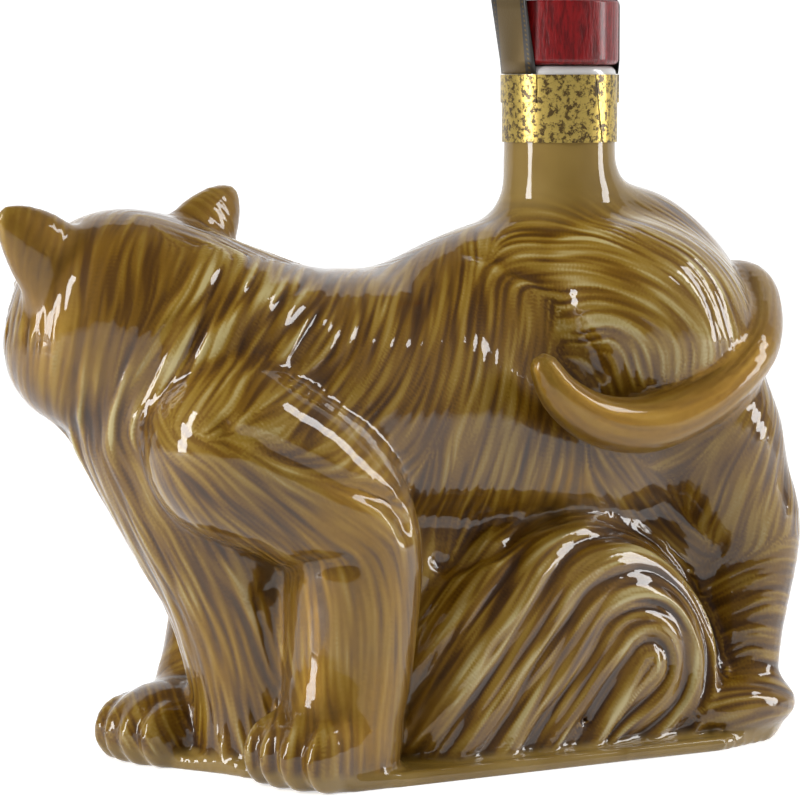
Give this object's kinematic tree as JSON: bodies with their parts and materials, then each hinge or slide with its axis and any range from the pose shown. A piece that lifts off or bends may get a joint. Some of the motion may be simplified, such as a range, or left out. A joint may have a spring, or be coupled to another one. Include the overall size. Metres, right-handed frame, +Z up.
{
  "type": "figural liquor decanter",
  "caption": "Glazed porcelain liquor decanter shaped as a tiger standing over swirling rock, with a bottle neck on its back, a foil label, a paper seal and a corked stopper.",
  "frame": {"origin": "on the table, under the middle of the bottle's own box", "axes": "+Z up along the neck, -X towards the head, -Y towards the side that carries the tail"},
  "size_m": [0.188, 0.0914, 0.1654],
  "materials": {
    "porcelain": "amber glaze over white porcelain, with brushed gold",
    "gold_foil": "gold foil on paper",
    "seal_paper": "black paper with a gold band",
    "red_cap": "grained, satin",
    "cork": "natural cork"
  },
  "bodies": {
    "bottle": {"bottle_body": "porcelain", "neck_label": "gold_foil", "seal_tails": "seal_paper"},
    "stopper": {"stopper_cap": "red_cap", "stopper_cork": "cork", "seal_strip": "seal_paper"}
  },
  "joints": [
    {"name": "stopper_lift", "type": "slide", "parent": "bottle", "child": "stopper", "axis": [0, 0, 1], "range_m": [0, 0.03]}
  ]
}
